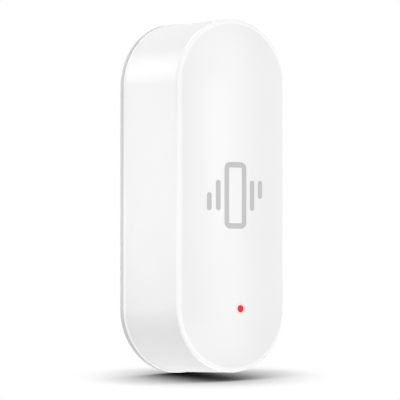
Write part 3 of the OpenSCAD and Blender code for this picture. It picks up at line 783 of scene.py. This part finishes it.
cell_jacket, tree, shader, where, skin = moulded(
    "cell_jacket", SLATE, roughness=0.22, drift=0.15, gloss_drift=0.15)
place = add_split(tree, where)
cell_side = add_math(tree, "SIGN", place["X"])
along_cell = add_math(tree, "MULTIPLY",
                      add_math(tree, "MULTIPLY", place["Z"], cell_side), -1.0)
off_middle = add_math(tree, "ABSOLUTE", add_math(
    tree, "SUBTRACT", add_math(tree, "ABSOLUTE", place["X"]), CELL_X))
dress(cell_jacket, "cell_jacket_left", "cell_jacket_right")

# %% Print on the sleeves
BAND_FROM = 11.5 * MM
LINE_FROM, LINE_TO = 10.2 * MM, 10.8 * MM
SIGN_PLACE = 16.5 * MM
SIGN_HALF, SIGN_STROKE = 1.5 * MM, 0.35 * MM


def bar_mask(tree, middle, half_along, half_across):
    """Rectangle on the sleeve, round a place along the cell."""
    from_bar = add_math(tree, "ABSOLUTE", add_math(tree, "SUBTRACT", along_cell, middle))
    return add_math(tree, "MULTIPLY", add_math(tree, "LESS_THAN", from_bar, half_along),
                    add_math(tree, "LESS_THAN", off_middle, half_across))


band = add_math(tree, "GREATER_THAN", along_cell, BAND_FROM)
thin_line = add_math(tree, "MULTIPLY", add_math(tree, "GREATER_THAN", along_cell, LINE_FROM),
                     add_math(tree, "LESS_THAN", along_cell, LINE_TO))
plus = add_math(tree, "MAXIMUM", bar_mask(tree, SIGN_PLACE, SIGN_HALF, SIGN_STROKE),
                bar_mask(tree, SIGN_PLACE, SIGN_STROKE, SIGN_HALF))
minus = bar_mask(tree, -SIGN_PLACE, SIGN_STROKE, SIGN_HALF)
pale = add_math(tree, "MAXIMUM", add_math(
    tree, "SUBTRACT", add_math(tree, "MAXIMUM", band, thin_line), plus), minus)
tree.links.new(add_mix(tree, pale, skin.outputs["Colour"], PALE), shader.inputs["Base Color"])
print(f"signs {SIGN_PLACE / MM:.1f} mm from the middle of each cell")

# %% [markdown]
# ## New pieces
#
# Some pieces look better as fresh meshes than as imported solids. Each is built in place with
# bmesh operators, shaded smooth up to a sharp angle, and tied to the body it moves with. A
# modifier could find the sharp edges too, but marking them once keeps the mesh as it is.

# %% Piece helpers
SHARP = math.radians(32)


def piece(name, bm, body, material):
    """Turns a bmesh into a finished piece that rides on a body."""
    for face in bm.faces:
        face.smooth = True
    for edge in bm.edges:
        edge.smooth = len(edge.link_faces) == 2 and edge.calc_face_angle(0.0) < SHARP
    obj = mesh_object(name, bm)
    obj.data.materials.append(material)
    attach(obj, body)
    print(f"{name}: {len(obj.data.polygons)} faces on {body}")
    return obj


def round_edges(bm, edges, offset, segments):
    """Bevels edges to a round profile, or to a flat cut with one segment."""
    bmesh.ops.bevel(bm, geom=edges, offset=offset, segments=segments, profile=0.5,
                    affect="EDGES", material=-1)


def verts_of(geom):
    """Vertices among the results of an operator."""
    return [g for g in geom if isinstance(g, bmesh.types.BMVert)]


def depth_of(edge):
    """How far an edge runs in depth."""
    return abs(edge.verts[0].co.y - edge.verts[1].co.y)


print(f"edges stay smooth below {math.degrees(SHARP):.0f} degrees")

# %% [markdown]
# ## Housing shell
#
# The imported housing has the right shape, but its triangles are loose, and at the two poles of
# the crown the highlight breaks. A new shell would have to repeat every rib and groove. A copy
# with its corners merged keeps them, and can be shaded as one skin. Weighted normals let the
# large faces decide, so the flat sides stay flat right up to their rounded edges.

# %% Housing shell
MERGE = 0.0005 * MM

shell_bm = bmesh.new()
shell_bm.from_mesh(nodes["front_housing"].data)
bmesh.ops.remove_doubles(shell_bm, verts=shell_bm.verts, dist=MERGE)
housing_shell = piece("housing_shell", shell_bm, "housing", housing_white)
shell_data = housing_shell.data.attributes
if "custom_normal" in shell_data:
    shell_data.remove(shell_data["custom_normal"])
even = housing_shell.modifiers.new("even_normals", "WEIGHTED_NORMAL")
even.mode = "FACE_AREA"
even.keep_sharp = True
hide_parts("front_housing")

# %% [markdown]
# ## Foam pad and its liner
#
# The tag is sold with a die-cut foam pad on its back: a soft core whose sides bulge a little
# where it was pressed on, and a release liner in two halves with a slanted slit, so a finger
# can lift it. A cloth simulation could swell the core, but die-cut foam stays flat, so moving
# its side walls out is enough. The core starts as a round disc whose two halves are moved apart
# to make a pill.

# %% Pill slab
DISC_SEGMENTS = 96


def pill_slab(radius, straight, back, front):
    """Flat pill between two depths; straight is half the length of its straight sides."""
    bm = bmesh.new()
    lay = Matrix.Rotation(math.pi / 2, 4, "X") @ Matrix.Rotation(math.pi / DISC_SEGMENTS, 4, "Z")
    disc = bmesh.ops.create_circle(bm, cap_ends=True, segments=DISC_SEGMENTS, radius=radius,
                                   matrix=Matrix.Translation((0, back, 0)) @ lay)
    for vert in disc["verts"]:
        vert.co.y = back
        vert.co.z += math.copysign(straight, vert.co.z)
    grown = bmesh.ops.extrude_face_region(bm, geom=bm.faces[:])
    bmesh.ops.translate(bm, verts=verts_of(grown["geom"]), vec=(0, front - back, 0))
    bmesh.ops.recalc_face_normals(bm, faces=bm.faces)
    return bm


pad_low, pad_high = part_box("adhesive_pad")
PAD_RADIUS = pad_high.x
PAD_STRAIGHT = pad_high.z - PAD_RADIUS
print("pad size in mm:", [round(v / MM, 2) for v in (pad_high - pad_low)])

# %% Foam finish
PORES_PER_METRE = 4500.0
PORE_FROM, PORE_TO = 0.1, 0.6
PORE_SHADE, PORE_DEPTH = 0.25, 0.05 * MM

foam, tree, shader, where = new_material("foam")
foam_skin = place_group(tree, moulded_skin, where, {
    "Colour": (0.70, 0.70, 0.67), "Drift": 0.12, "Roughness": 0.85, "Gloss drift": 0.1})
cells = tree.nodes.new("ShaderNodeTexVoronoi")
cells.inputs["Scale"].default_value = PORES_PER_METRE
tree.links.new(where, cells.inputs["Vector"])
pore = add_ramp(tree, cells.outputs["Distance"], PORE_FROM, PORE_TO)
foam_colour = shade_by(tree, foam_skin.outputs["Colour"], pore, PORE_SHADE)
tree.links.new(foam_colour, shader.inputs["Base Color"])
tree.links.new(foam_skin.outputs["Roughness"], shader.inputs["Roughness"])
add_bump(tree, shader, pore, PORE_DEPTH)
print("pores per metre:", PORES_PER_METRE)

# %% Foam core
LINER = 0.08 * MM
FOAM_BULGE, FOAM_ROUND = 0.07 * MM, 0.12 * MM
FOAM_ROWS = 5

foam_back = pad_high.y - LINER
foam_half = (foam_back - pad_low.y) / 2
foam_middle = pad_low.y + foam_half
foam_bm = pill_slab(PAD_RADIUS - FOAM_BULGE, PAD_STRAIGHT, foam_back, pad_low.y)
rims = [e for e in foam_bm.edges if depth_of(e) < MERGE]
round_edges(foam_bm, rims, FOAM_ROUND, segments=3)
walls = [e for e in foam_bm.edges if depth_of(e) > foam_half]
bmesh.ops.subdivide_edges(foam_bm, edges=walls, cuts=FOAM_ROWS, use_grid_fill=True)
for vert in foam_bm.verts:
    height = (vert.co.y - foam_middle) / foam_half
    nearest = max(-PAD_STRAIGHT, min(PAD_STRAIGHT, vert.co.z))
    outward = Vector((vert.co.x, 0, vert.co.z - nearest)).normalized()
    vert.co += outward * FOAM_BULGE * (1 - height * height)
foam_pad = piece("foam_pad", foam_bm, "cover", foam)
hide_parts("adhesive_pad")

# %% Liner finish
FIBRES_PER_METRE = 3000.0
FIBRE_STRETCH = (1, 1, 0.15)
FIBRE_SHADE, FIBRE_DEPTH = 0.06, 0.006 * MM

liner_paper, tree, shader, where = new_material("liner_paper")
liner_skin = place_group(tree, moulded_skin, where, {
    "Colour": (0.80, 0.79, 0.72), "Drift": 0.05, "Roughness": 0.38, "Gloss drift": 0.2})
drawn_out = add_vector_math(tree, "MULTIPLY", where, FIBRE_STRETCH)
fibres = add_noise(tree, drawn_out, FIBRES_PER_METRE, detail=3.0)
paper_colour = shade_by(tree, liner_skin.outputs["Colour"], fibres, FIBRE_SHADE)
tree.links.new(paper_colour, shader.inputs["Base Color"])
tree.links.new(liner_skin.outputs["Roughness"], shader.inputs["Roughness"])
add_bump(tree, shader, fibres, FIBRE_DEPTH)
print("fibres per metre:", FIBRES_PER_METRE)

# %% Release liner
SLIT = 0.12 * MM
SLIT_TILT = math.radians(20)
LINER_SETBACK = 0.15 * MM

for name, sign in (("liner_upper", 1), ("liner_lower", -1)):
    liner_bm = pill_slab(PAD_RADIUS - LINER_SETBACK, PAD_STRAIGHT, pad_high.y, foam_back)
    normal = Vector((math.sin(SLIT_TILT), 0, math.cos(SLIT_TILT))) * sign
    bmesh.ops.bisect_plane(
        liner_bm, geom=liner_bm.verts[:] + liner_bm.edges[:] + liner_bm.faces[:],
        plane_co=normal * SLIT / 2, plane_no=normal, clear_inner=True)
    open_edges = [e for e in liner_bm.edges if len(e.link_faces) == 1]
    bmesh.ops.edgeloop_fill(liner_bm, edges=open_edges)
    bmesh.ops.recalc_face_normals(liner_bm, faces=liner_bm.faces)
    piece(name, liner_bm, "cover", liner_paper)

# %% [markdown]
# ## Springs
#
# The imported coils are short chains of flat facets. A curve with a bevel would give round wire,
# but here each wire is a small circle that is extruded step by step, so that radius and pitch
# can both change: every new ring is turned round the axis, moved along it and, for a conical
# spring, moved in. The pitch is eased at both ends, so that the end turns lie nearly flat as on
# a ground spring.

# %% Coil builder
WIRE_SIDES = 12
STEPS_PER_TURN = 40
END_EASE = 0.55


def eased(t):
    """Share of the length at share t of the turns, slower at both ends."""
    return t - END_EASE * math.sin(2 * math.pi * t) / (2 * math.pi)


def wire_coil(name, node, foot, tip, foot_radius, tip_radius, turns, wire, body):
    """Round wire wound from a foot point to a tip point, in place of a CAD coil."""
    axis = (tip - foot).normalized()
    outward = axis.orthogonal().normalized()
    bm = bmesh.new()
    to_ring = Matrix((outward, axis, outward.cross(axis))).transposed().to_4x4()
    ring = bmesh.ops.create_circle(
        bm, segments=WIRE_SIDES, radius=wire / 2,
        matrix=Matrix.Translation(foot + outward * foot_radius) @ to_ring)
    first = edges = list({e for v in ring["verts"] for e in v.link_edges})
    steps = round(turns * STEPS_PER_TURN)
    step_turn = Matrix.Rotation(2 * math.pi * turns / steps, 3, axis)
    for i in range(steps):
        grown = bmesh.ops.extrude_edge_only(bm, edges=edges)["geom"]
        edges = [g for g in grown if isinstance(g, bmesh.types.BMEdge)]
        rise = (eased((i + 1) / steps) - eased(i / steps)) * (tip - foot).length
        outward = step_turn @ outward
        bmesh.ops.rotate(bm, verts=verts_of(grown), cent=foot, matrix=step_turn)
        bmesh.ops.translate(
            bm, verts=verts_of(grown),
            vec=axis * rise + outward * (tip_radius - foot_radius) / steps)
    for end in (first, edges):
        bmesh.ops.edgeloop_fill(bm, edges=end)
    bmesh.ops.recalc_face_normals(bm, faces=bm.faces)
    coil = piece(name, bm, body, spring_steel)
    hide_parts(node)


print("steps in each turn of wire:", STEPS_PER_TURN)

# %% Contact springs
CONTACT_WIRE, CONTACT_TURNS = 0.5 * MM, 3
FOOT_RADIUS, TIP_RADIUS = 3.2 * MM, 1.7 * MM

for name, node, x, sign in (
    ("contact_coil_top", "contact_spring_top", CELL_X, 1),
    ("contact_coil_bottom", "contact_spring_bottom", -CELL_X, -1),
):
    low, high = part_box(node)
    near, far = (low.z, high.z) if sign > 0 else (high.z, low.z)
    inset = sign * CONTACT_WIRE / 2
    wire_coil(name, node, Vector((x, CELL_Y, far - inset)), Vector((x, CELL_Y, near + inset)),
              FOOT_RADIUS, TIP_RADIUS, CONTACT_TURNS, CONTACT_WIRE, "housing")

# %% Sensing spring
SENSING_WIRE, SENSING_TURNS, SENSING_RADIUS = 0.3 * MM, 8, 1.15 * MM

can_low, can_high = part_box("vibration_can")
can_middle = (can_low + can_high) / 2
low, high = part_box("vibration_spring")
wire_coil("sensing_coil", "vibration_spring",
          Vector((can_middle.x, low.y + SENSING_WIRE / 2, can_middle.z)),
          Vector((can_middle.x, high.y - SENSING_WIRE / 2, can_middle.z)),
          SENSING_RADIUS, SENSING_RADIUS, SENSING_TURNS, SENSING_WIRE, "sensing_spring")

# %% [markdown]
# ## Board hardware
#
# Three small things make the open housing look real: the moulded plinth under the capacitor,
# the crimped ring at the foot of the vibration switch, and the bent legs of the reset switch.
# They carry nothing, so they are trim and not solids of the model. The plinth and the legs are
# bevelled boxes, and the ring is a circle spun round the can.

# %% Plinth of the capacitor
PLINTH_HALF, PLINTH_TALL = 2.65 * MM, 0.7 * MM
PLINTH_CUT, PLINTH_ROUND = 0.7 * MM, 0.08 * MM


def add_box(bm, low, high):
    """Box between two corners; returns its edges."""
    middle, size = (low + high) / 2, high - low
    made = bmesh.ops.create_cube(
        bm, size=1.0, matrix=Matrix.Translation(middle) @ Matrix.Diagonal((*size, 1)))
    return list({e for v in made["verts"] for e in v.link_edges})


board_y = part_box("main_board")[1].y
plinth_low = Vector((CAP_MIDDLE.x - PLINTH_HALF, board_y, CAP_MIDDLE.z - PLINTH_HALF))
plinth_high = Vector((CAP_MIDDLE.x + PLINTH_HALF, board_y + PLINTH_TALL,
                      CAP_MIDDLE.z + PLINTH_HALF))
plinth_bm = bmesh.new()
corners = [e for e in add_box(plinth_bm, plinth_low, plinth_high)
           if depth_of(e) > PLINTH_TALL / 2 and e.verts[0].co.x < CAP_MIDDLE.x]
round_edges(plinth_bm, corners, PLINTH_CUT, segments=1)
round_edges(plinth_bm, plinth_bm.edges[:], PLINTH_ROUND, segments=2)
piece("capacitor_plinth", plinth_bm, "housing", chip_black)

# %% Crimped ring of the vibration switch
CRIMP_WIRE = 0.18 * MM
CRIMP_SIDES, CRIMP_STEPS = 16, 64
can_radius = (can_high.x - can_low.x) / 2
crimp_start = Vector((can_middle.x + can_radius - CRIMP_WIRE / 3,
                      can_low.y + 2 * CRIMP_WIRE, can_middle.z))
crimp_bm = bmesh.new()
bmesh.ops.create_circle(crimp_bm, segments=CRIMP_SIDES, radius=CRIMP_WIRE,
                        matrix=Matrix.Translation(crimp_start))
bmesh.ops.spin(crimp_bm, geom=crimp_bm.edges[:], cent=can_middle, axis=(0, 1, 0),
               angle=2 * math.pi, steps=CRIMP_STEPS, use_merge=True)
bmesh.ops.remove_doubles(crimp_bm, verts=crimp_bm.verts, dist=MERGE)
bmesh.ops.recalc_face_normals(crimp_bm, faces=crimp_bm.faces)
piece("vibration_crimp", crimp_bm, "housing", gold_copper)

# %% Legs of the reset switch
LEG_HALF, LEG_THICK, LEG_OUT = 0.35 * MM, 0.15 * MM, 0.12 * MM
LEG_APART, LEG_LIFT, LEG_ROUND = 1.4 * MM, 0.01 * MM, 0.03 * MM
reset_low, reset_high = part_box("reset_switch")
reset_middle = (reset_low + reset_high) / 2
legs_bm = bmesh.new()
for side, wall in ((-1, reset_low.x), (1, reset_high.x)):
    left, right = sorted((wall - side * LEG_OUT, wall + side * LEG_THICK))
    for z in (reset_middle.z - LEG_APART, reset_middle.z + LEG_APART):
        leg_edges = add_box(legs_bm, Vector((left, board_y + LEG_LIFT, z - LEG_HALF)),
                            Vector((right, reset_middle.y, z + LEG_HALF)))
        round_edges(legs_bm, leg_edges, LEG_ROUND, segments=2)
piece("reset_legs", legs_bm, "housing", sheet_steel)

# %% [markdown]
# ## Sizes and finish
#
# Both boxes are printed: the imported one at the start, and the one of everything shown here.
# Nothing made here may stand out of the imported box.

# %% Sizes and finish
low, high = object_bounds()
print("visual box in mm:", [round(v / MM, 2) for v in (high - low)])
